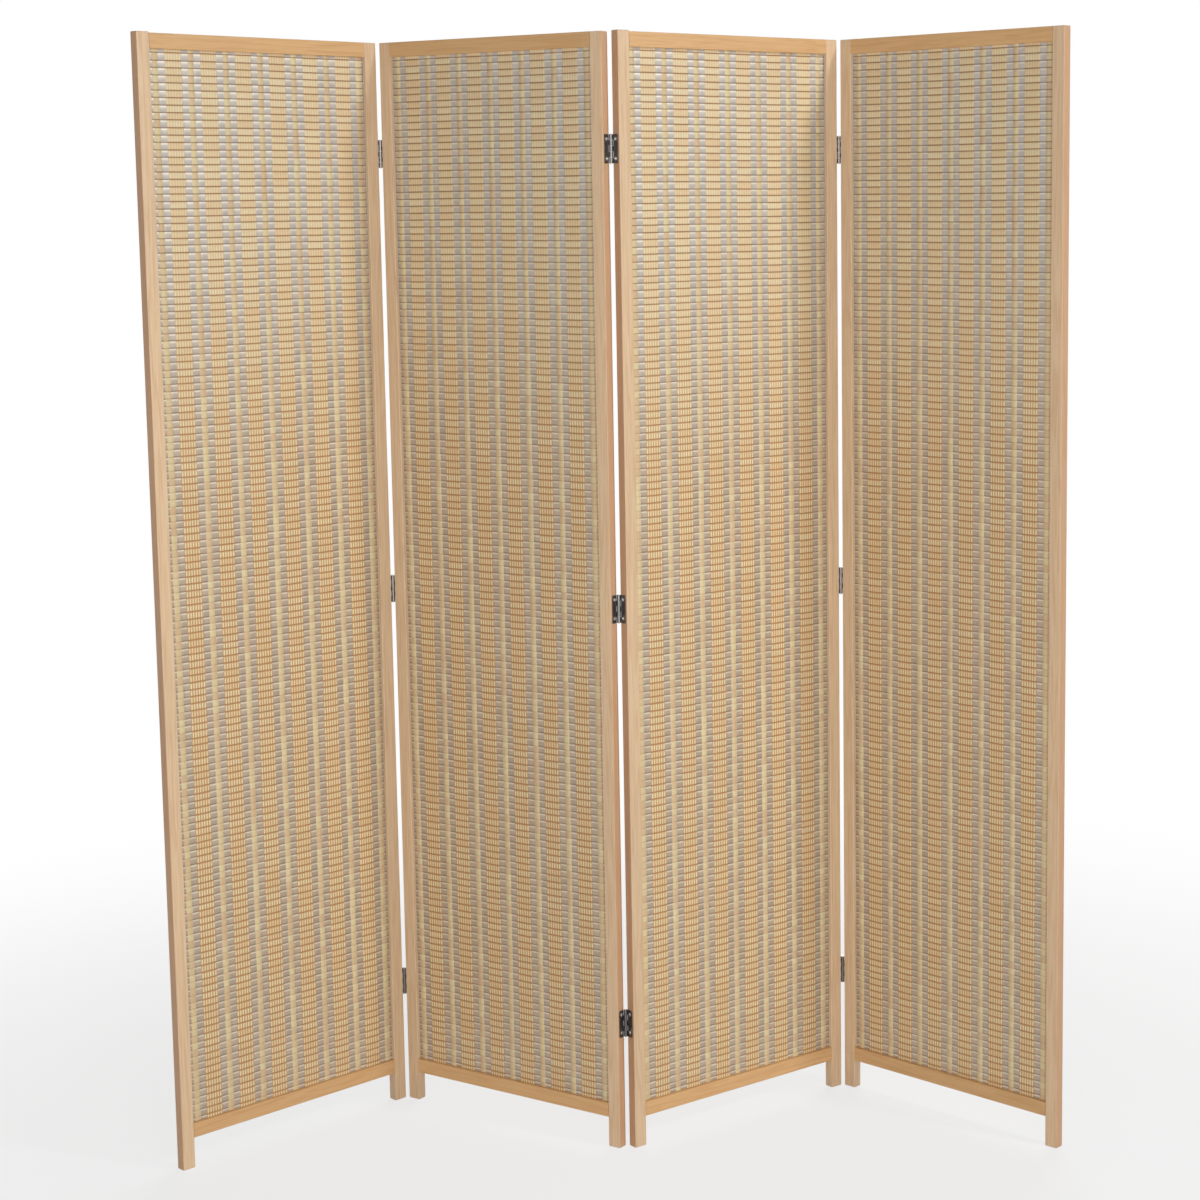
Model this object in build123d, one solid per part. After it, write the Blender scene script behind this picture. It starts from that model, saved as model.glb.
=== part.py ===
from build123d import *
import os
from math import asin, atan2, cos, degrees, radians, sin

# A free-standing folding screen of four panels. Each panel is a pine frame of two stiles and
# two rails round a woven mat, and three butt hinges join each panel to the next.
# Millimetres and degrees. A panel's own frame has x along its width from its left edge,
# y from its front face towards its rear face, and z up from the floor.

# Panel frame
panel_width = 400.0
panel_height = 1600.0
frame_depth = 15.0
stile_width = 20.0
top_rail_height = 21.0
bottom_rail_height = 21.0
foot_height = 44.0          # from the floor to the bottom rail's lower edge
arris_radius = 1.2          # the eased long edges of a stile
end_chamfer = 0.8           # the eased edges of a stile's two ends
rail_arris_radius = 0.8
stile_proud = 1.5           # how far the left stiles of two panels stand above their rails
proud_panels = ("panel_1", "panel_3")

# Woven mat, held in a groove that runs round the inside of the frame
mat_thickness = 2.4
mat_insert = 5.0            # how far the mat's edges reach into the groove
mat_face_clearance = 0.15   # between the mat and each wall of the groove
mat_edge_clearance = 0.3    # between the mat's edge and the bottom of the groove

# Dowels, two at each corner of a frame
dowel_radius = 2.5
dowel_length = 28.0
dowel_chamfer = 0.4
dowel_edge_distance = 4.5   # from a rail's outer edge to the first dowel's axis
dowel_spacing = 7.0
dowel_fit = 0.05            # all round the dowel
dowel_end_space = 0.5       # beyond each end of the dowel, for glue

# Butt hinges
hinge_height = 40.0
hinge_foot_distance = 186.0 # from the floor to the lower hinge's middle
hinge_top_distance = 160.0  # from the panel's top to the upper hinge's middle
hinge_middle_drop = 5.0     # how far the middle hinge sits below the panel's mid height
leaf_thickness = 1.2
leaf_reach = 12.5           # from the pin's axis to the leaf's free edge
leaf_corner_radius = 1.5
knuckle_count = 5
knuckle_gap = 0.3           # between one knuckle and the next, up and down
knuckle_clearance = 0.35    # round a knuckle, to the other leaf's edge
pin_radius = 1.5
pin_fit = 0.05              # running clearance all round the pin
pin_overhang = 1.0          # the pin's domed tip beyond the barrel's end
pin_dome = 0.6
pin_proud = 0.5             # the pin's axis in front of the faces that fold together

# Countersunk wood screws with raised heads, two in each leaf
screw_spacing = 27.0
screw_length = 11.0
screw_shank_radius = 1.4
screw_head_radius = 2.6
screw_head_height = 1.1
screw_point_length = 3.0
screw_point_radius = 0.3
screw_dome_height = 0.5
screw_fit = 0.05
recess_length = 2.6
recess_width = 0.6
recess_depth = 0.7

# How far each joint is turned from straight as the screen stands
left_turn_angle = 78.5      # panel 1 to panel 2, front faces turned towards each other
centre_turn_angle = 72.0    # panel 2 to panel 3, rear faces turned towards each other
right_turn_angle = 81.5     # panel 3 to panel 4, front faces turned towards each other

# Sizes that follow from the ones above
opening_left = stile_width
opening_right = panel_width - stile_width
opening_base = foot_height + bottom_rail_height
opening_top = panel_height - top_rail_height
mid_depth = frame_depth / 2
groove_width = mat_thickness + 2 * mat_face_clearance
groove_depth = mat_insert + mat_edge_clearance
pin_bore_radius = pin_radius + pin_fit
knuckle_radius = pin_bore_radius + leaf_thickness
half_gap = knuckle_radius   # a closed hinge is as thick as its knuckle
knuckle_pitch = hinge_height / knuckle_count
knuckle_reach = knuckle_radius + knuckle_clearance
screw_offset = (knuckle_radius + leaf_reach) / 2
hinge_levels = {
    "lower": hinge_foot_distance,
    "middle": panel_height / 2 - hinge_middle_drop,
    "upper": panel_height - hinge_top_distance,
}

# Each joint's left-hand and right-hand panel, and whether its pin is at the rear faces
joints = {
    "left": ("panel_1", "panel_2", False),
    "centre": ("panel_2", "panel_3", True),
    "right": ("panel_3", "panel_4", False),
}
LEFT, RIGHT = "left", "right"   # the two stiles of a panel, and the two leaves of a hinge


def block(x_range, y_range, z_range):
    """A box between two places on each axis."""
    ranges = (x_range, y_range, z_range)
    size = [high - low for low, high in ranges]
    middle = [(high + low) / 2 for low, high in ranges]
    return Pos(*middle) * Box(*size)


def rod(radius, length, start, direction):
    """A round rod from a start point along a direction."""
    aligned = Cylinder(radius, length, align=(Align.CENTER, Align.CENTER, Align.MIN))
    return Plane(origin=start, z_dir=direction) * aligned


def dowel_starts(side):
    """The left ends of the four dowels at a panel's left or right stile."""
    joint_x = opening_left if side == LEFT else opening_right
    first = foot_height + dowel_edge_distance
    last = panel_height - dowel_edge_distance
    levels = (first, first + dowel_spacing, last - dowel_spacing, last)
    return [(joint_x - dowel_length / 2, mid_depth, level) for level in levels]


def dowel_holes(side):
    """The holes for a side's dowels, half in the stile and half in the rails."""
    radius = dowel_radius + dowel_fit
    length = dowel_length + 2 * dowel_end_space
    return [
        rod(radius, length, (x - dowel_end_space, y, z), (1, 0, 0))
        for x, y, z in dowel_starts(side)
    ]


def make_dowels():
    """The eight dowels of one panel."""
    dowels = []
    for start in dowel_starts(LEFT) + dowel_starts(RIGHT):
        dowel = rod(dowel_radius, dowel_length, start, (1, 0, 0))
        dowels.append(chamfer(dowel.edges().filter_by(GeomType.CIRCLE), dowel_chamfer))
    return dowels


def sheet(edge_depth, thickness):
    """A flat sheet that fills the frame's opening and reaches into it all round."""
    return block(
        (opening_left - edge_depth, opening_right + edge_depth),
        (mid_depth - thickness / 2, mid_depth + thickness / 2),
        (opening_base - edge_depth, opening_top + edge_depth),
    )


def make_stile(side, top, rear_hinges):
    """One upright: eased edges, mat groove, dowel holes and the screw holes of its hinges.

    rear_hinges is None where the stile carries no hinges.
    """
    left = 0.0 if side == LEFT else opening_right
    stile = block((left, left + stile_width), (0, frame_depth), (0, top))
    stile = fillet(stile.edges().filter_by(Axis.Z), arris_radius)
    ends = stile.faces().filter_by(Axis.Z).edges()
    stile = chamfer(ends, end_chamfer)
    stile = stile - sheet(groove_depth, groove_width) - dowel_holes(side)
    if rear_hinges is not None:
        hand = leaf_hand(side, rear_hinges)
        for level in hinge_levels.values():
            place = hinge_place(side, rear_hinges, level)
            stile = stile - [place * hole for hole in screw_holes(hand)]
    return stile


def make_rail(low, high):
    """One cross piece between the stiles, with its groove and dowel holes."""
    rail = block((opening_left, opening_right), (0, frame_depth), (low, high))
    rail = fillet(rail.edges().filter_by(Axis.X), rail_arris_radius)
    return rail - sheet(groove_depth, groove_width) - dowel_holes(LEFT) - dowel_holes(RIGHT)


# A hinge's own frame is on its pin, as the hinge is when it is straight: x towards its right
# leaf, y from the faces that fold together into the panels, z up from its lower end.


def leaf_hand(side, rear):
    """Which leaf a stile carries: a hinge at the rear faces is the same one turned round."""
    if rear:
        return side
    return RIGHT if side == LEFT else LEFT


def towards(hand, distance):
    """How far along x a distance to the left or to the right is."""
    return -distance if hand == LEFT else distance


def hinge_place(side, rear, level):
    """A hinge's frame in the panel's, at the left or right stile and one level."""
    pin_x = -half_gap if side == LEFT else panel_width + half_gap
    pin_y = frame_depth + pin_proud if rear else -pin_proud
    turned = Rot(0, 0, 180) if rear else Rot(0, 0, 0)
    return Pos(pin_x, pin_y, level - hinge_height / 2) * turned


def knuckle_spans(hand):
    """Lowest and highest z of each knuckle that one leaf carries, the left leaf the outer ones."""
    first = 0 if hand == LEFT else 1
    spans = []
    for index in range(first, knuckle_count, 2):
        low_gap = knuckle_gap / 2 if index > 0 else 0
        high_gap = knuckle_gap / 2 if index < knuckle_count - 1 else 0
        low = index * knuckle_pitch + low_gap
        high = (index + 1) * knuckle_pitch - high_gap
        spans.append((low, high))
    return spans


def screw_body(clearance=0.0):
    """A countersunk screw along x, its rim at x = 0, or the hole for it with a clearance."""
    shank = screw_shank_radius + clearance
    tip = screw_length + clearance
    outline = Polyline(
        (0, 0),
        (0, screw_head_radius + clearance),
        (screw_head_height, shank),
        (screw_length - screw_point_length, shank),
        (tip, screw_point_radius),
        (tip, 0),
        close=True,
    )
    return revolve(make_face(outline), Axis.X)


def make_screw():
    """The screw with its raised head and crossed driver recess."""
    rise = screw_dome_height
    sphere_radius = (screw_head_radius ** 2 + rise ** 2) / (2 * rise)
    half_way = asin(screw_head_radius / sphere_radius) / 2
    on_dome = (sphere_radius * (1 - cos(half_way)) - rise, sphere_radius * sin(half_way))
    dome = make_face(
        [
            ThreePointArc((0, screw_head_radius), on_dome, (-rise, 0)).edge(),
            Line((-rise, 0), (0, 0)).edge(),
            Line((0, 0), (0, screw_head_radius)).edge(),
        ]
    )
    screw = screw_body() + revolve(dome, Axis.X)
    depth = (-2 * rise, recess_depth - rise)
    along = (-recess_length / 2, recess_length / 2)
    across = (-recess_width / 2, recess_width / 2)
    return screw - [block(depth, along, across), block(depth, across, along)]


def screw_places(hand):
    """Where a leaf's screws go: rims flush with the leaf's inner face, tips in the stile."""
    inner = towards(hand, half_gap - leaf_thickness)
    turned = Rot(0, 0, 180) if hand == LEFT else Rot(0, 0, 0)
    middle = hinge_height / 2
    levels = (middle - screw_spacing / 2, middle + screw_spacing / 2)
    return [Pos(inner, screw_offset, level) * turned for level in levels]


def screw_holes(hand):
    """The two screw holes of one leaf, through the leaf and into the stile."""
    return [place * screw_body(screw_fit) for place in screw_places(hand)]


def make_leaf(hand):
    """One leaf: a plate on the stile's edge whose near edge is rolled into knuckles."""
    faces_x = sorted((towards(hand, half_gap), towards(hand, half_gap - leaf_thickness)))
    plate = block(faces_x, (knuckle_reach, leaf_reach), (0, hinge_height))
    free_corners = plate.edges().filter_by(Axis.X).group_by(Axis.Y)[-1]
    leaf = fillet(free_corners, leaf_corner_radius)
    for low, high in knuckle_spans(hand):
        leaf = leaf + rod(knuckle_radius, high - low, (0, 0, low), (0, 0, 1))
        leaf = leaf + block(faces_x, (0, knuckle_reach), (low, high))
    leaf = leaf - rod(pin_bore_radius, hinge_height, (0, 0, 0), (0, 0, 1))
    return leaf - screw_holes(hand)


def make_pin():
    """The hinge pin with its two domed tips."""
    length = hinge_height + 2 * pin_overhang
    pin = rod(pin_radius, length, (0, 0, -pin_overhang), (0, 0, 1))
    return fillet(pin.edges().filter_by(GeomType.CIRCLE), pin_dome)


def panel_places():
    """Each panel's frame in the screen's, chained from pin to pin.

    The line from the first panel's start to the last one's end lies along x, and the origin
    is on the floor at the middle of the space that the screen takes up.
    """
    offsets = {
        "panel_1": left_turn_angle,
        "panel_2": 0.0,
        "panel_3": centre_turn_angle,
        "panel_4": centre_turn_angle - right_turn_angle,
    }
    sines = sum(sin(radians(offset)) for offset in offsets.values())
    cosines = sum(cos(radians(offset)) for offset in offsets.values())
    lead = -degrees(atan2(sines, cosines))
    places = {"panel_1": Rot(0, 0, lead + offsets["panel_1"])}
    for left_panel, right_panel, rear in joints.values():
        pin = (places[left_panel] * hinge_place(RIGHT, rear, 0)).position
        turned = Rot(0, 0, lead + offsets[right_panel])
        shift = pin - (turned * hinge_place(LEFT, rear, 0)).position
        places[right_panel] = Pos(shift.X, shift.Y, 0) * turned
    corners = [
        (place * Pos(x, y, 0)).position
        for place in places.values()
        for x in (arris_radius, panel_width - arris_radius)
        for y in (arris_radius, frame_depth - arris_radius)
    ]
    middle_x = (min(p.X for p in corners) + max(p.X for p in corners)) / 2
    middle_y = (min(p.Y for p in corners) + max(p.Y for p in corners)) / 2
    return {panel: Pos(-middle_x, -middle_y, 0) * place for panel, place in places.items()}


def save(name, solids):
    """Write one node, a single solid or a group of separate ones."""
    node = solids[0] if len(solids) == 1 else Compound(children=solids)
    node.label = name
    export_step(node, os.path.join("parts", name + ".step"))


os.makedirs("parts", exist_ok=True)
places = panel_places()
hinges_at = {}
for left_panel, right_panel, rear in joints.values():
    hinges_at[left_panel, RIGHT] = rear
    hinges_at[right_panel, LEFT] = rear

for panel, place in places.items():
    prefix = panel + "_"
    left_top = panel_height + (stile_proud if panel in proud_panels else 0)
    left_stile = make_stile(LEFT, left_top, hinges_at.get((panel, LEFT)))
    right_stile = make_stile(RIGHT, panel_height, hinges_at.get((panel, RIGHT)))
    save(prefix + "left_stile", [place * left_stile])
    save(prefix + "right_stile", [place * right_stile])
    save(prefix + "top_rail", [place * make_rail(opening_top, panel_height)])
    save(prefix + "bottom_rail", [place * make_rail(foot_height, opening_base)])
    save(prefix + "woven_mat", [place * sheet(mat_insert, mat_thickness)])
    save(prefix + "dowels", [place * dowel for dowel in make_dowels()])
    screw = make_screw()
    screws = []
    for side in (LEFT, RIGHT):
        if (panel, side) in hinges_at:
            rear = hinges_at[panel, side]
            for level in hinge_levels.values():
                hinge = place * hinge_place(side, rear, level)
                screws += [hinge * at * screw for at in screw_places(leaf_hand(side, rear))]
    save(prefix + "hinge_screws", screws)

for joint, (left_panel, right_panel, rear) in joints.items():
    left_leaf = make_leaf(leaf_hand(RIGHT, rear))
    right_leaf = make_leaf(leaf_hand(LEFT, rear))
    for level_name, level in hinge_levels.items():
        prefix = f"{joint}_joint_{level_name}_hinge_"
        at_left = places[left_panel] * hinge_place(RIGHT, rear, level)
        at_right = places[right_panel] * hinge_place(LEFT, rear, level)
        save(prefix + "left_leaf", [at_left * left_leaf])
        save(prefix + "right_leaf", [at_right * right_leaf])
        save(prefix + "pin", [at_left * make_pin()])
    pin = (places[left_panel] * hinge_place(RIGHT, rear, 0)).position
    print(f"{joint} joint pin at x {pin.X:.4f}, y {pin.Y:.4f}")

for panel, place in places.items():
    heading = place.orientation.Z
    start = place.position
    print(f"{panel} starts at x {start.X:.4f}, y {start.Y:.4f}, heading {heading:.4f}")
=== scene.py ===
import math

import bpy
import numpy as np
from mathutils import Matrix, Vector


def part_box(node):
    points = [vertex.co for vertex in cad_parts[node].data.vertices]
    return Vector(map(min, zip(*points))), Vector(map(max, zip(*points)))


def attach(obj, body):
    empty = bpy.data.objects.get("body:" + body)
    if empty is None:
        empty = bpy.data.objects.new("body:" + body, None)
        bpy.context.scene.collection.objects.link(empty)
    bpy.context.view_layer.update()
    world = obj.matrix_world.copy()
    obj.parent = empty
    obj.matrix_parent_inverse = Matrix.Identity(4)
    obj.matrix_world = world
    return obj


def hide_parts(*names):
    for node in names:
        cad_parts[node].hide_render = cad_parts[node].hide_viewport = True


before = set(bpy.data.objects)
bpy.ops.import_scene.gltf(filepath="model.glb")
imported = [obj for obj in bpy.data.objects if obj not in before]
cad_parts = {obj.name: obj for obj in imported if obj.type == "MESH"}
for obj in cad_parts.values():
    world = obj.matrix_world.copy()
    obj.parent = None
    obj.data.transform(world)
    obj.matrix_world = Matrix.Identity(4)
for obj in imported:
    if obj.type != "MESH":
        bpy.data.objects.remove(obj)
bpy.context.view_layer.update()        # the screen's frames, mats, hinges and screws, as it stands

# A folding screen of four pine frames with woven mats. All places are in metres, and a mat's
# own places are u across its panel from the middle, w from its middle plane towards the rear,
# and z up from the floor.
MM = 0.001
PANELS = (1, 2, 3, 4)
FRAME_PARTS = ("left_stile", "right_stile", "top_rail", "bottom_rail")

# The weave, which repeats across a mat: a narrow band of smooth straw, a silver column,
# a wide band of straw cords and another silver column
PATTERN_PITCH = 56.8 * MM
ROW_PITCH = 10.03 * MM
ROW_UNEVENNESS = 0.3 * MM
ROW_WAVE = 0.35 * MM
ROW_WAVE_LENGTH = 310 * MM
ROW_WAVE_DRIFT = 0.05      # radians from one row to the next
PATTERN_SHIFTS = {1: 1.9 * MM, 2: -1.2 * MM, 3: -1.6 * MM, 4: 0.0}
NARROW_BANDS = 7
NARROW_HALF = 5.3 * MM
WIDE_CORDS = 12            # cords that hold the ribbons between them, half of them in front
CORD_STEP = 26.0 * MM / WIDE_CORDS
BAND_LAP = 0.8 * MM        # how far a band's rolled edge reaches into the ribbon
EDGE_UNEVENNESS = 0.25 * MM
SILVER_OFFSET = 10.3 * MM  # from a narrow band's middle to the silver column's
SILVER_HALF = 5.4 * MM
RIBBON_MARGIN = 0.5 * MM   # from the mat's side edge to the outermost ribbon line
ROWS_APART = 200.0         # between the row coordinates of one panel and the next
CORDS_APART = 100.0        # between the cord coordinates of one band and the next

# Depths of the weave from the mat's middle plane
CORD_CREST = 1.25 * MM
CORD_VALLEY = 0.85 * MM
CORD_GROOVE = 0.5 * MM
BAND_CREST = 1.15 * MM
BAND_GROOVE = 0.85 * MM
RIBBON_CREST = 0.95 * MM
RIBBON_SIDE = 0.75 * MM
RIBBON_GROOVE = 0.3 * MM
ROW_SHOULDERS = (0.0, 0.15, 0.85)   # shares of a row's height: groove, lower and upper shoulder
REAR_CORD_RELIEF = 0.4              # the relief of a cord that lies behind, where 1 is in front
NARROW_SECTION = (-1.0, -0.8, 0.0, 0.8, 1.0)    # places across a narrow band's half width


class Panel:
    """A panel's own frame, found from its flat mat: the mat's middle and half sizes, and the
    level directions across the panel and through it, from its front to its rear."""

    def __init__(self, number):
        self.number = number
        self.prefix = f"panel_{number}_"
        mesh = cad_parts[self.prefix + "woven_mat"].data
        corners = np.empty(len(mesh.vertices) * 3, np.float32)
        mesh.vertices.foreach_get("co", corners)
        corners = corners.reshape(-1, 3).astype(float)
        self.middle = (corners.min(0) + corners.max(0)) / 2
        plan = corners[:, :2] - self.middle[:2]
        across = np.linalg.eigh(plan.T @ plan)[1][:, 1]
        left = sum(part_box(self.prefix + "left_stile"), Vector())
        right = sum(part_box(self.prefix + "right_stile"), Vector())
        if across @ np.array(right - left)[:2] < 0:
            across = -across
        self.across = across
        self.through = np.array((-across[1], across[0]))
        self.heading = math.atan2(across[1], across[0])
        self.half_width = np.abs(plan @ self.across).max()
        self.half_height = (corners[:, 2].max() - corners[:, 2].min()) / 2
        self.draw = np.random.default_rng(self.number)

    def points(self, u, w, z):
        """Places in the screen's frame of arrays of a mat's own places."""
        plan = self.middle[:2] + u[..., None] * self.across + w[..., None] * self.through
        return np.concatenate((plan, z[..., None]), axis=-1).reshape(-1, 3)


def make_object(name, points, loops, sizes, weave):
    """A smooth mesh from its points, its faces' corners one after another, each face's number
    of corners, and at each point where it lies in the weave: cord, row and relief."""
    mesh = bpy.data.meshes.new(name)
    mesh.vertices.add(len(points))
    mesh.vertices.foreach_set("co", points.astype(np.float32).ravel())
    mesh.loops.add(len(loops))
    mesh.loops.foreach_set("vertex_index", loops.astype(np.int32))
    mesh.polygons.add(len(sizes))
    starts = np.concatenate(((0,), np.cumsum(sizes)[:-1]))
    mesh.polygons.foreach_set("loop_start", starts.astype(np.int32))
    mesh.update(calc_edges=True)
    mesh.validate()
    mesh.shade_smooth()
    attribute = mesh.attributes.new("weave", "FLOAT_VECTOR", "POINT")
    attribute.data.foreach_set("vector", weave.astype(np.float32).ravel())
    made = bpy.data.objects.new(name, mesh)
    bpy.context.scene.collection.objects.link(made)
    return made


def band_surface(panel, u, front, rear, z, cord, row, relief):
    """One closed band of a mat as points, loops, sizes and weave places.

    Its section runs along the front lines from left to right and back along the rear ones, and
    is carried up through the stations. Both sides meet in its two edge lines, and a flat face
    closes each end. All arrays are stations by lines.
    """
    stations, lines = u.shape
    inner = slice(lines - 2, 0, -1)

    def ring(front_values, rear_values):
        return np.concatenate((front_values, rear_values[:, inner]), axis=1)

    points = panel.points(ring(u, u), ring(-front, rear), ring(z, z))
    weave = np.stack((ring(cord, cord), ring(row, row), ring(relief, relief)), axis=-1)
    around = 2 * lines - 2
    index = np.arange(stations * around).reshape(stations, around)
    onward = np.roll(index, -1, axis=1)
    quads = np.stack((index[:-1], onward[:-1], onward[1:], index[1:]), axis=-1)
    loops = np.concatenate((quads.ravel(), index[0, ::-1], index[-1]))
    sizes = np.concatenate((np.full(quads.size // 4, 4), (around, around)))
    return points, loops, sizes, weave.reshape(-1, 3)


def join_surfaces(name, parts):
    """One object from several closed bands."""
    offsets = np.cumsum([0] + [len(part[0]) for part in parts[:-1]])
    loops = np.concatenate([part[1] + offset for part, offset in zip(parts, offsets)])
    return make_object(
        name,
        np.concatenate([part[0] for part in parts]),
        loops,
        np.concatenate([part[2] for part in parts]),
        np.concatenate([part[3] for part in parts]),
    )


class Rows:
    """The rows of a mat: each station's row coordinate, its share of the row's relief, and
    the level of every station at a place across the mat."""

    def __init__(self, panel):
        self.count = round(2 * panel.half_height / ROW_PITCH)
        shoulders = np.tile(ROW_SHOULDERS, self.count)
        whole = np.repeat(np.arange(self.count), len(ROW_SHOULDERS))
        self.coordinate = np.append(whole + shoulders, self.count)
        self.index = np.append(whole, self.count - 1)
        self.swell = np.append((shoulders > 0).astype(float), 0.0)
        bounds = np.linspace(-panel.half_height, panel.half_height, self.count + 1)
        bounds[1:-1] += panel.draw.normal(0, ROW_UNEVENNESS, self.count - 1)
        self.level = panel.middle[2] + np.interp(
            self.coordinate, np.arange(self.count + 1), bounds
        )
        self.phase = panel.number + ROW_WAVE_DRIFT * self.coordinate

    def levels(self, u):
        """Levels at places across: each row is a long shallow wave, which drifts row by row
        and dies away at the mat's two ends."""
        wave = np.sin(2 * math.pi * u / ROW_WAVE_LENGTH + self.phase[:, None])
        ends = np.minimum(self.coordinate, self.count - self.coordinate).clip(0, 1)
        return self.level[:, None] + ROW_WAVE * ends[:, None] * wave

    def uneven(self, panel, amount):
        """A small chance shift for each row, as one column of stations."""
        return panel.draw.normal(0, amount, self.count)[self.index][:, None]


def wide_band(panel, rows, middle, number):
    """A wide band of cords: every second cord stands forward over every ribbon, and between
    them lie those that stand out at the rear."""
    places = CORD_STEP * (np.arange(WIDE_CORDS + 1) - WIDE_CORDS / 2)
    edge = places[-1] + BAND_LAP
    lines = np.concatenate(((-edge,), places, (edge,)))
    u = middle + np.tile(lines, (len(rows.coordinate), 1))
    u[:, :2] += rows.uneven(panel, EDGE_UNEVENNESS)
    u[:, -2:] += rows.uneven(panel, EDGE_UNEVENNESS)
    cord = np.arange(-1, WIDE_CORDS + 2)[None, :]
    forward = (cord % 2).astype(float) + np.zeros_like(u)
    inside = np.ones_like(u)
    inside[:, (0, -1)] = 0

    def depth(raised):
        top = CORD_VALLEY + (CORD_CREST - CORD_VALLEY) * raised
        return inside * (CORD_GROOVE + (top - CORD_GROOVE) * rows.swell[:, None])

    height = REAR_CORD_RELIEF + (1 - REAR_CORD_RELIEF) * forward
    relief = inside * rows.swell[:, None] * height
    cord = cord + CORDS_APART * number + np.zeros_like(u)
    row = row_coordinate(panel, rows, u)
    return band_surface(
        panel, u, depth(forward), depth(1 - forward), rows.levels(u), cord, row, relief
    )


def narrow_band(panel, rows, middle, number):
    """A narrow band of smooth straw, flat on its face and rolled at its edges, with a shallow
    groove between one row and the next."""
    lines = NARROW_HALF * np.array(NARROW_SECTION)
    u = middle + np.tile(lines, (len(rows.coordinate), 1))
    u[:, (0, 1)] += rows.uneven(panel, EDGE_UNEVENNESS)
    u[:, (-2, -1)] += rows.uneven(panel, EDGE_UNEVENNESS)
    inside = np.array((0.0, 1.0, 1.0, 1.0, 0.0))
    depth = BAND_GROOVE + (BAND_CREST - BAND_GROOVE) * rows.swell[:, None]
    depth = depth * inside
    cord = CORDS_APART * number + np.arange(len(lines)) + np.zeros_like(u)
    relief = rows.swell[:, None] * inside
    row = row_coordinate(panel, rows, u)
    return band_surface(panel, u, depth, depth, rows.levels(u), cord, row, relief)


def row_coordinate(panel, rows, u):
    """The row coordinate at each point. Each panel's rows start at a number of their own."""
    return rows.coordinate[:, None] + ROWS_APART * panel.number + np.zeros_like(u)


def narrow_middles(panel):
    """The middles of a mat's narrow bands."""
    steps = np.arange(NARROW_BANDS) - (NARROW_BANDS - 1) / 2
    return PATTERN_SHIFTS[panel.number] + PATTERN_PITCH * steps


def silver_ribbon(panel, rows):
    """The flat ribbons that run across the whole mat, one to a row, as one ribbed sheet: each
    swells forward where a silver column shows it and lies deeper under the straw bands."""
    middles = narrow_middles(panel)
    columns = np.sort(np.concatenate((middles - SILVER_OFFSET, middles + SILVER_OFFSET)))
    across = columns[:, None] + SILVER_HALF * np.array((-1.0, 0.0, 1.0))
    limit = panel.half_width - RIBBON_MARGIN
    across = across.ravel().clip(-limit, limit)
    face = np.tile((RIBBON_SIDE, RIBBON_CREST, RIBBON_SIDE), len(columns))
    lines = np.concatenate(((-panel.half_width,), across, (panel.half_width,)))
    face = np.concatenate(((0.0,), face, (0.0,)))
    inside = (face > 0).astype(float)
    u = np.tile(lines, (len(rows.coordinate), 1))
    groove = RIBBON_GROOVE * inside
    depth = groove + (face - groove) * rows.swell[:, None]
    cord = np.tile(np.arange(len(lines)) / 3.0, (len(rows.coordinate), 1))
    relief = rows.swell[:, None] * face / RIBBON_CREST
    row = row_coordinate(panel, rows, u)
    return band_surface(panel, u, depth, depth, rows.levels(u), cord, row, relief)


def weave_mat(panel, finishes):
    """A mat's three pieces: the silver ribbons and the two kinds of straw band over them."""
    rows = Rows(panel)
    middles = narrow_middles(panel)
    between = (middles[:-1] + middles[1:]) / 2
    ribbon = join_surfaces(panel.prefix + "silver_ribbons", [silver_ribbon(panel, rows)])
    cords = join_surfaces(
        panel.prefix + "straw_cords",
        [wide_band(panel, rows, middle, i) for i, middle in enumerate(between)],
    )
    bands = join_surfaces(
        panel.prefix + "straw_bands",
        [narrow_band(panel, rows, middle, i) for i, middle in enumerate(middles)],
    )
    for piece in (ribbon, cords, bands):
        kind = piece.name.removeprefix(panel.prefix)
        piece.data.materials.append(finishes[kind])
        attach(piece, f"panel_{panel.number}")
        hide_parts(panel.prefix + "woven_mat")


# The heights between which the mats' painted light and shade turn from those of the lower part to
# the upper's
LOWER_LIGHTING_TOP = 0.9
UPPER_LIGHTING_BASE = 1.4


class Value:
    """What a shader node's socket gives. Arithmetic on it adds Math nodes."""

    def __init__(self, finish, socket):
        self.finish = finish
        self.socket = socket

    def math(self, operation, *values):
        inputs = dict(enumerate((self, *values)))
        return self.finish.add("Math", {"operation": operation}, inputs)

    def __add__(self, other):
        return self.math("ADD", other)

    def __sub__(self, other):
        return self.math("SUBTRACT", other)

    def __mul__(self, other):
        return self.math("MULTIPLY", other)

    def __rsub__(self, other):
        return self * -1.0 + other

    __radd__ = __add__
    __rmul__ = __mul__


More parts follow.
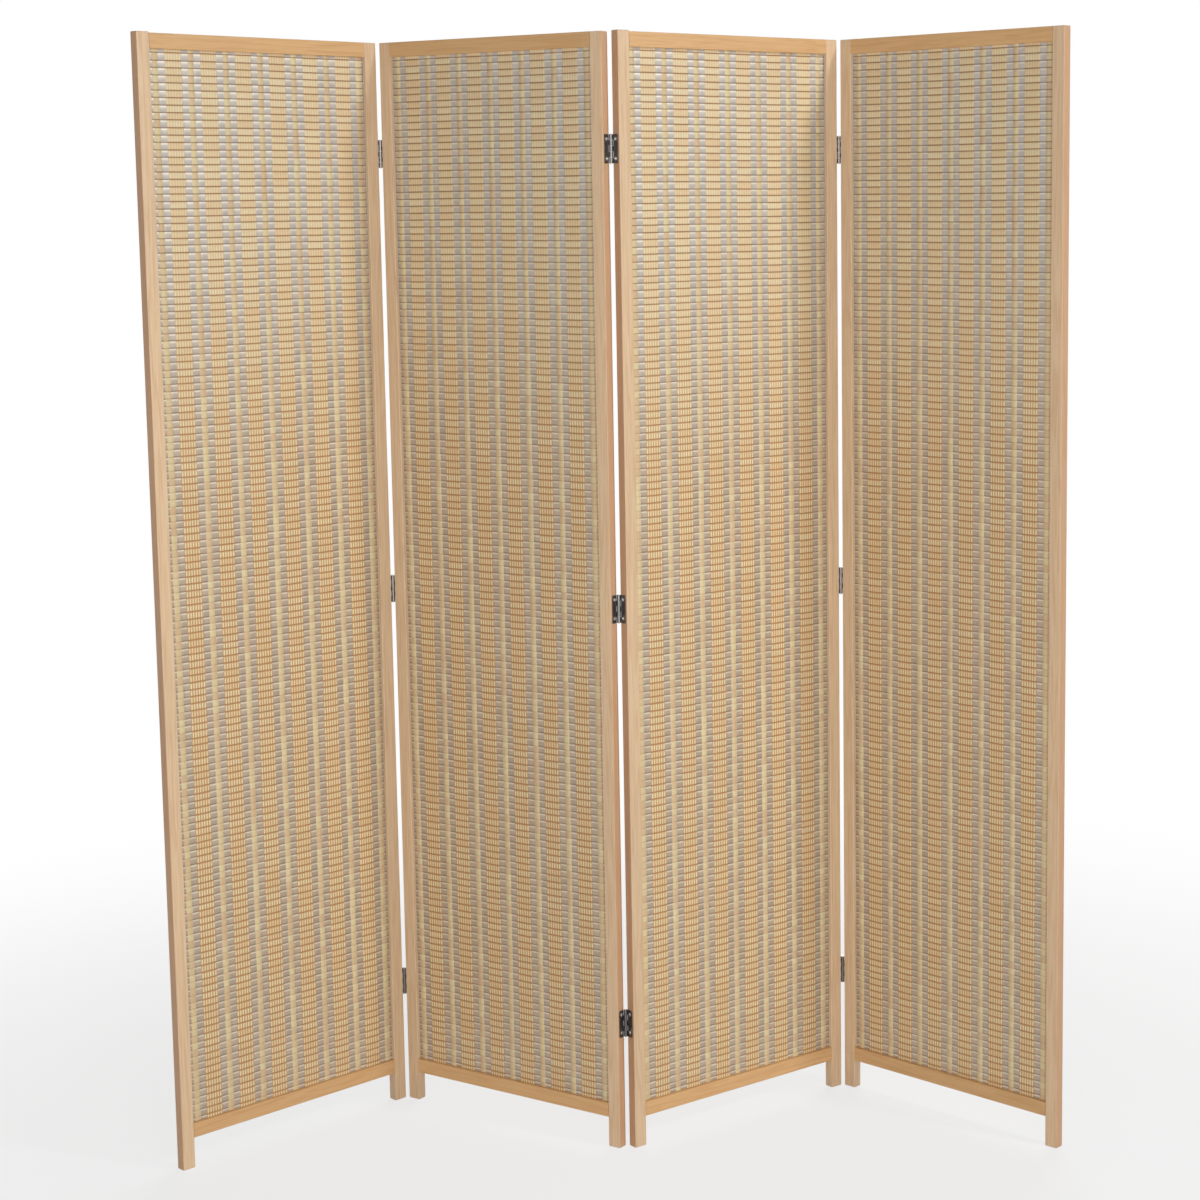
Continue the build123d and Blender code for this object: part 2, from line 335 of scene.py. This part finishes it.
class Finish:
    """A material, made node by node."""

    def __init__(self, name):
        self.material = bpy.data.materials.new(name)
        self.material.use_nodes = True
        self.tree = self.material.node_tree
        self.shader = self.tree.nodes["Principled BSDF"]
        self.places = Value(self, self.tree.nodes.new("ShaderNodeTexCoord").outputs["Object"])

    def add(self, kind, settings=None, inputs=None, output=0):
        """A node of a kind: its settings first, then the values or links of its sockets."""
        node = self.tree.nodes.new("ShaderNode" + kind)
        for name, value in (settings or {}).items():
            setattr(node, name, value)
        for name, value in (inputs or {}).items():
            self.feed(node.inputs[name], value)
        return Value(self, node.outputs[output])

    def feed(self, socket, value):
        """Links a value to a socket, or sets a number or colour on it."""
        if isinstance(value, Value):
            self.tree.links.new(value.socket, socket)
        else:
            socket.default_value = value

    def surface(self, **inputs):
        """Feeds the shader's own sockets, named with underscores for spaces."""
        for name, value in inputs.items():
            self.feed(self.shader.inputs[name.replace("_", " ")], value)

    def noise(self, place, scale, detail=2.0, roughness=0.5):
        inputs = {"Vector": place, "Scale": scale, "Detail": detail, "Roughness": roughness}
        return self.add("TexNoise", None, inputs)

    def chance(self, *numbers):
        """A random number from 0 to 1 for each set of up to three whole numbers."""
        place = self.add("CombineXYZ", None, dict(enumerate(numbers)))
        return self.add("TexWhiteNoise", {"noise_dimensions": "3D"}, {"Vector": place})

    def smooth(self, value, low, high):
        """0 below low, 1 above high and a smooth step between."""
        inputs = {"Value": value, "From Min": low, "From Max": high}
        return self.add("MapRange", {"interpolation_type": "SMOOTHSTEP"}, inputs)

    def mix(self, share, low, high):
        """A colour between two."""
        settings = {"data_type": "RGBA", "clamp_factor": True}
        return self.add("Mix", settings, {0: share, 6: low, 7: high}, output=2)

    def brighten(self, colour, amount):
        """A colour times a brightness, a value about 1."""
        grey = self.add("CombineXYZ", None, {0: amount, 1: amount, 2: amount})
        settings = {"data_type": "RGBA", "blend_type": "MULTIPLY"}
        return self.add("Mix", settings, {0: 1.0, 6: colour, 7: grey}, output=2)

    def bump(self, height, distance, strength=1.0):
        inputs = {"Height": height, "Distance": distance, "Strength": strength}
        return self.add("Bump", None, inputs)

    def turned(self, angle, stretch):
        """Object places turned about the vertical, so that x runs along a panel, then
        stretched along each axis."""
        turn = {"Vector": self.places, "Rotation": (0.0, 0.0, -angle)}
        level = self.add("Mapping", {"vector_type": "POINT"}, turn)
        return self.add("VectorMath", {"operation": "MULTIPLY"}, {0: level, 1: stretch})

    def weave(self):
        """Cord, row and relief of the weave at a point."""
        place = self.add("Attribute", {"attribute_name": "weave"}, None, output="Vector")
        parts = self.add("SeparateXYZ", None, {0: place}).socket.node
        return [Value(self, output) for output in parts.outputs]

    def upper(self):
        """0 in the lower part of the screen and 1 in its upper part: the mask for the mats'
        painted light and shade.
        """
        height = self.add("SeparateXYZ", None, {0: self.places}, output=2)
        return self.smooth(height, LOWER_LIGHTING_TOP, UPPER_LIGHTING_BASE)


def colour(red, green, blue):
    """A colour written as 0 to 255 on a screen, as the shader's linear light."""

    def linear(level):
        share = level / 255
        return share / 12.92 if share <= 0.04045 else ((share + 0.055) / 1.055) ** 2.4

    return (linear(red), linear(green), linear(blue), 1.0)


# Wood
STILE_PALE = colour(218, 189, 154)
STILE_DARK = colour(194, 156, 118)
# Painted shade on a stile's outer side face
STILE_PAINTED_SHADE = colour(176, 122, 84)
RAIL_PALE = colour(210, 168, 118)
RAIL_DARK = colour(192, 144, 92)
BEECH_PALE = colour(214, 178, 138)
BEECH_DARK = colour(192, 150, 108)
GRAIN_STRETCH = 24.0            # how much finer the grain is across a piece than along it
STILE_BEYOND_MAT = 15.0 * MM    # from a mat's side edge to its stile's outer face
STILE_SHADE_REACH = 1.0 * MM     # how far the painted shade on a stile's outer edge reaches in
STILE_SHADE_FULL = 0.2 * MM      # and from where it is at its darkest
PIECE_TONES = (0.87, 0.97)      # the darkest and palest piece of wood

# Mats, where LOW and HIGH are the lower and the upper part of the screen, whose painted light and
# shade differ
CORD_PALE = colour(234, 220, 182)
CORD_WARM = colour(222, 194, 152)
CORD_SHADE = colour(180, 140, 90)
# Painted shade in the grooves between rows, for the lower and the upper part of the screen
CORD_ROW_SHADE_LOW = colour(160, 108, 62)
CORD_ROW_SHADE_HIGH = colour(138, 98, 62)
BAND_PALE = colour(220, 203, 158)
BAND_WARM = colour(208, 178, 140)
# Painted shade in the grooves between rows, for the lower and the upper part of the screen
BAND_ROW_SHADE_LOW = colour(180, 138, 92)
BAND_ROW_SHADE_HIGH = colour(124, 98, 70)
# The ribbon's painted light and shade: browner in the lower part, silver-grey in the upper
RIBBON_SHADED_LOW = colour(178, 161, 142)
RIBBON_LIT_HIGH = colour(182, 175, 167)
# Painted highlight along each ribbon row's upper edge
RIBBON_PAINTED_HIGHLIGHT = colour(220, 210, 190)
# Painted shade in the grooves between rows
RIBBON_ROW_SHADE = colour(118, 100, 84)

# Fittings
HINGE_STEEL = colour(112, 108, 106)
PIN_STEEL = colour(190, 186, 182)
SCREW_STEEL = colour(214, 212, 208)


def pine(name, panel, along, pale, dark):
    """Planed pine: long streaks and growth lines that run along the piece, over slow changes
    of tone, with a dull sheen. along is the panel's x for a rail and z for a stile, whose outer
    side face and arris get painted shade. Each piece of wood is a little paler or darker than
    the next."""
    finish = Finish(name)
    fast = GRAIN_STRETCH
    stretch = (1.0, fast, fast) if along == "x" else (fast, fast, 1.0)
    place = finish.turned(panel.heading, stretch)
    tone = finish.noise(place, 2.2, 2.0)
    streak = finish.noise(place, 18.0, 4.0, 0.65)
    rings = (tone * 55.0 + streak * 2.0).math("SINE") * 0.5 + 0.5
    late = finish.smooth(rings, 0.55, 1.0)
    share = late * 0.3 + finish.smooth(streak, 0.35, 0.75) * 0.4
    base = finish.mix(share, pale, dark)
    level_place = finish.turned(panel.heading, (1.0, 1.0, 1.0))
    drift = finish.noise(level_place, 3.0, 2.0)
    if along == "z":
        across = finish.add("SeparateXYZ", None, {0: level_place})
        across = (across - float(panel.middle[:2] @ panel.across)).math("ABSOLUTE")
        outer = panel.half_width + STILE_BEYOND_MAT
        # painted shade on the stile's outer side face and arris
        edge = finish.smooth(across, outer - STILE_SHADE_REACH, outer - STILE_SHADE_FULL)
        base = finish.mix(edge * 0.55, base, STILE_PAINTED_SHADE)
    base = finish.brighten(base, drift * 0.16 + panel.draw.uniform(*PIECE_TONES))
    finish.surface(
        Base_Color=base,
        Roughness=streak * 0.16 + 0.42,
        Normal=finish.bump(streak + late * 0.4, 0.15 * MM, 0.5),
    )
    return finish.material


def painted_row_shade(finish, phase, low, high, top):
    """How much painted shade a point gets in and near the groove between rows: all of it at a
    row's lower edge, fading above it, and a thin line of it at the upper edge."""
    below = 1.0 - finish.smooth(phase, low, high)
    above = finish.smooth(phase, top, 1.0)
    return below.math("MAXIMUM", above * 0.6)


def straw_cords():
    """Cords of straw-coloured paper, each stroke a little different, fibres along it, with painted
    shade between the cords, orange-brown painted shade in the grooves between rows, and painted a
    little darker in the upper part of the screen."""
    finish = Finish("straw_cords")
    cord, row, relief = finish.weave()
    index = row.math("FLOOR")
    phase = row.math("FRACT")
    stroke = (cord * 0.5).math("FLOOR")
    by_stroke = finish.chance(stroke, index, 1.0)
    by_row = finish.chance(index, (cord * (1 / CORDS_APART)).math("FLOOR"), 2.0)
    fibre = finish.noise(finish.turned(0.0, (1.0, 1.0, 0.12)), 900.0, 2.0)
    upper = finish.upper()
    tint = by_stroke * 0.45 + by_row * 0.55
    base = finish.mix(tint, CORD_PALE, CORD_WARM)
    # painted shade in the valleys between the cords, fainter in the upper part of the screen
    valley_shade = 1.0 - finish.smooth(relief, 0.45, 0.95)
    base = finish.mix(valley_shade * (0.95 - upper * 0.6), base, CORD_SHADE)
    # painted shade, orange-brown, in the grooves between rows, stronger and darker in the upper
    # part of the screen
    groove = painted_row_shade(finish, phase, 0.08, 0.22, 0.93)
    row_shade = finish.mix(upper, CORD_ROW_SHADE_LOW, CORD_ROW_SHADE_HIGH)
    base = finish.mix(groove * (0.65 + upper * 0.25), base, row_shade)
    # fibre and stroke tones, and painted shade that makes the upper part of the screen a little
    # darker
    base = finish.brighten(base, fibre * 0.2 + by_stroke * 0.08 + 0.87 - upper * 0.07)
    finish.surface(
        Base_Color=base,
        Roughness=fibre * 0.15 + 0.55,
        Normal=finish.bump(fibre, 0.08 * MM, 0.6),
    )
    return finish.material


def straw_bands():
    """Smooth pale straw, one flat strand to a row, with faint painted shade in the grooves between
    rows, stronger in the upper part of the screen, where the straw is also painted a little
    darker.
    """
    finish = Finish("straw_bands")
    cord, row, _ = finish.weave()
    index = row.math("FLOOR")
    phase = row.math("FRACT")
    by_row = finish.chance(index, (cord * (1 / CORDS_APART)).math("FLOOR"), 3.0)
    fibre = finish.noise(finish.turned(0.0, (1.0, 1.0, 0.15)), 700.0, 2.0)
    upper = finish.upper()
    base = finish.mix(by_row, BAND_PALE, BAND_WARM)
    # painted shade in the grooves between rows, stronger and darker in the upper part of the
    # screen
    groove = painted_row_shade(finish, phase, 0.05, 0.2, 0.94)
    row_shade = finish.mix(upper, BAND_ROW_SHADE_LOW, BAND_ROW_SHADE_HIGH)
    base = finish.mix(groove * (0.4 + upper * 0.45), base, row_shade)
    # fibre tone, and painted shade that makes the upper part of the screen a little darker
    base = finish.brighten(base, fibre * 0.16 + 0.88 - upper * 0.03)
    finish.surface(
        Base_Color=base,
        Roughness=fibre * 0.15 + 0.5,
        Normal=finish.bump(fibre, 0.05 * MM, 0.5),
    )
    return finish.material


def silver_ribbons():
    """Satin ribbon with painted light and shade: silver-grey near the screen's top and browner
    towards the floor, a painted highlight along each row's upper edge and painted shade in the
    groove under it."""
    finish = Finish("silver_ribbons")
    cord, row, _ = finish.weave()
    index = row.math("FLOOR")
    phase = row.math("FRACT")
    by_cell = finish.chance(index, (cord + 0.5).math("FLOOR"), 4.0)
    sheen = finish.noise(finish.turned(0.0, (1.0, 1.0, 2.5)), 260.0, 2.0)
    # painted light and shade: silver-grey in the upper part of the screen, browner lower down
    body = finish.mix(finish.upper(), RIBBON_SHADED_LOW, RIBBON_LIT_HIGH)
    # painted highlight along each row's upper edge
    edge = finish.smooth(phase, 0.7, 0.84) - finish.smooth(phase, 0.9, 0.97)
    base = finish.mix(edge * 0.75, body, RIBBON_PAINTED_HIGHLIGHT)
    # painted shade in the groove between rows
    groove = painted_row_shade(finish, phase, 0.06, 0.2, 0.95)
    base = finish.mix(groove * 0.75, base, RIBBON_ROW_SHADE)
    base = finish.brighten(base, by_cell * 0.16 + sheen * 0.2 + 0.84)
    finish.surface(
        Base_Color=base,
        Metallic=0.25,
        Roughness=sheen * 0.2 + 0.34,
        Normal=finish.bump(sheen, 0.08 * MM, 0.6),
    )
    return finish.material


def plated_steel(name, base, roughness):
    """Plated steel, slightly cloudy, with fine rubbed marks."""
    finish = Finish(name)
    cloud = finish.noise(finish.turned(0.0, (1.0, 1.0, 1.0)), 140.0, 3.0)
    marks = finish.noise(finish.turned(0.0, (1.0, 1.0, 0.1)), 1500.0, 2.0)
    finish.surface(
        Base_Color=finish.brighten(base, cloud * 0.5 + 0.75),
        Metallic=1.0,
        Roughness=cloud * 0.12 + marks * 0.1 + roughness,
        Normal=finish.bump(marks, 0.02 * MM, 0.5),
    )
    return finish.material


def beech():
    """Plain beech, for the dowels."""
    finish = Finish("beech")
    fleck = finish.noise(finish.turned(0.0, (1.0, 1.0, 0.3)), 500.0, 3.0)
    finish.surface(
        Base_Color=finish.mix(fleck, BEECH_PALE, BEECH_DARK),
        Roughness=fleck * 0.1 + 0.55,
    )
    return finish.material


def dress(node, material):
    """Gives a finish to each material slot of a node."""
    for material_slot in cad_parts[node].material_slots:
        material_slot.material = material


def dress_frames(panels):
    """Wood for each stile and rail, its grain running along the piece."""
    for panel in panels:
        for part in FRAME_PARTS:
            node = panel.prefix + part
            if part.endswith("stile"):
                wood = pine(node, panel, "z", STILE_PALE, STILE_DARK)
            else:
                wood = pine(node, panel, "x", RAIL_PALE, RAIL_DARK)
            dress(node, wood)


def dress_fittings():
    """Plated hinges and pins, brighter screws and plain dowels."""
    leaf = plated_steel("hinge_plate", HINGE_STEEL, 0.18)
    pin = plated_steel("hinge_pin", PIN_STEEL, 0.2)
    screw = plated_steel("screw_steel", SCREW_STEEL, 0.2)
    dowel = beech()
    finishes = {"_leaf": leaf, "_pin": pin, "_screws": screw, "_dowels": dowel}
    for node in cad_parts:
        for ending, material in finishes.items():
            if node.endswith(ending):
                dress(node, material)


# The camera, as it stood before the screen. The photograph's own axis is not its middle.
FRAME_PIXELS = 1200
AXIS_PIXEL = (740.0, 533.0)
FOCAL_PIXELS = 2469.4
CAMERA_PLACE = Vector((0.0397, -3.5550, 1.3682))
CAMERA_YAW = -0.0404
CAMERA_DIP = 0.1341
CAMERA_ROLL = 0.0101
SENSOR = 36.0


def make_camera():
    """A camera that looks along the photograph's axis, shifted so that its frame is the same."""
    data = bpy.data.cameras.new("camera")
    camera = bpy.data.objects.new("camera", data)
    bpy.context.scene.collection.objects.link(camera)
    level = math.cos(CAMERA_DIP)
    ahead = Vector((
        -math.sin(CAMERA_YAW) * level,
        math.cos(CAMERA_YAW) * level,
        -math.sin(CAMERA_DIP),
    ))
    right = Vector((math.cos(CAMERA_YAW), math.sin(CAMERA_YAW), 0.0))
    down = ahead.cross(right)
    rolled_right = math.cos(CAMERA_ROLL) * right + math.sin(CAMERA_ROLL) * down
    rolled_down = math.cos(CAMERA_ROLL) * down - math.sin(CAMERA_ROLL) * right
    turned = Matrix((rolled_right, -rolled_down, -ahead)).transposed()
    camera.matrix_world = Matrix.Translation(CAMERA_PLACE) @ turned.to_4x4()
    data.sensor_width = SENSOR
    data.lens = FOCAL_PIXELS * SENSOR / FRAME_PIXELS
    data.shift_x = (FRAME_PIXELS / 2 - AXIS_PIXEL[0]) / FRAME_PIXELS
    data.shift_y = (AXIS_PIXEL[1] - FRAME_PIXELS / 2) / FRAME_PIXELS
    bpy.context.scene.camera = camera


def area_light(name, place, target, size, power):
    """A square soft light that points from its place at a target."""
    data = bpy.data.lights.new(name, "AREA")
    data.size = size
    data.energy = power
    light = bpy.data.objects.new(name, data)
    bpy.context.scene.collection.objects.link(light)
    light.location = place
    light.rotation_euler = (Vector(target) - Vector(place)).to_track_quat("-Z", "Y").to_euler()


# Each light's name, its place, the point it aims at, its width and its power in watts
LIGHTS = (
    ("key", (3.0, -1.75, 2.8), (0.0, 0.0, 0.9), 0.3, 46.0),
    ("front_fill", (0.6, -3.8, 1.0), (0.1, 0.0, 0.9), 2.0, 78.0),
    ("left_fill", (-1.8, -3.0, 1.1), (0.0, 0.0, 1.0), 1.0, 9.0),
    ("rear_fill", (1.2, 3.6, 2.6), (0.0, 0.0, 0.8), 2.6, 90.0),
)
WHITE = (1.0, 1.0, 1.0, 1.0)
WORLD_LIGHT = 0.22              # the pale world's strength on the screen itself
WHITE_BACKGROUND = 1.0          # and where it is seen, also in metal
MIRRORED_RAYS = ("Is Glossy Ray", "Is Transmission Ray")


def light_studio():
    """A key light high on the right, which throws each panel's shadow on the next, a broad
    soft fill from the front, a weak one from the left, another from behind, and a pale world."""
    for light in LIGHTS:
        area_light(*light)
    world = bpy.data.worlds.new("studio")
    bpy.context.scene.world = world
    world.use_nodes = True
    tree = world.node_tree
    background = tree.nodes["Background"]
    path = tree.nodes.new("ShaderNodeLightPath")
    seen = path.outputs["Is Camera Ray"]
    for kind in MIRRORED_RAYS:
        either = tree.nodes.new("ShaderNodeMath")
        either.operation = "MAXIMUM"
        tree.links.new(seen, either.inputs[0])
        tree.links.new(path.outputs[kind], either.inputs[1])
        seen = either.outputs[0]
    strength = tree.nodes.new("ShaderNodeMapRange")
    strength.inputs["To Min"].default_value = WORLD_LIGHT
    strength.inputs["To Max"].default_value = WHITE_BACKGROUND
    tree.links.new(seen, strength.inputs["Value"])
    tree.links.new(strength.outputs[0], background.inputs["Strength"])
    background.inputs["Color"].default_value = WHITE


FLOOR_HALF = 30.0
FLOOR_GREY = (0.62, 0.62, 0.62, 1.0)
FLOOR_WHITE_NEAR = 0.72         # how white the floor looks beside the screen, under its shadow
WHITE_FROM, WHITE_TO = 0.6, 2.2 # distances between which it turns all white


def make_floor():
    """A plain pale floor, seen as white away from the screen and with a soft shadow under it."""
    corners = [(x, y, 0.0) for x, y in ((-1, -1), (1, -1), (1, 1), (-1, 1))]
    mesh = bpy.data.meshes.new("floor")
    mesh.from_pydata([Vector(corner) * FLOOR_HALF for corner in corners], [], [(0, 1, 2, 3)])
    floor = bpy.data.objects.new("floor", mesh)
    bpy.context.scene.collection.objects.link(floor)
    finish = Finish("floor")
    finish.surface(Base_Color=FLOOR_GREY, Roughness=0.9)
    camera_ray = finish.add("LightPath")
    seen = camera_ray
    for kind in MIRRORED_RAYS:
        seen = seen.math("MAXIMUM", Value(finish, camera_ray.socket.node.outputs[kind]))
    away = finish.add("VectorMath", {"operation": "LENGTH"}, {0: finish.places}, output="Value")
    far = finish.smooth(away, WHITE_FROM, WHITE_TO)
    share = seen * (FLOOR_WHITE_NEAR + far * (1.0 - FLOOR_WHITE_NEAR))
    white = finish.add("Emission", None, {"Color": WHITE, "Strength": WHITE_BACKGROUND})
    lit = Value(finish, finish.shader.outputs[0])
    surface = finish.add("MixShader", None, {0: share, 1: lit, 2: white})
    finish.feed(finish.tree.nodes["Material Output"].inputs["Surface"], surface)
    mesh.materials.append(finish.material)


panels = [Panel(number) for number in PANELS]
mat_finishes = {
    "silver_ribbons": silver_ribbons(),
    "straw_cords": straw_cords(),
    "straw_bands": straw_bands(),
}
for panel in panels:
    weave_mat(panel, mat_finishes)
dress_frames(panels)
dress_fittings()
make_floor()
light_studio()
make_camera()
bpy.context.scene.view_settings.view_transform = "Standard"
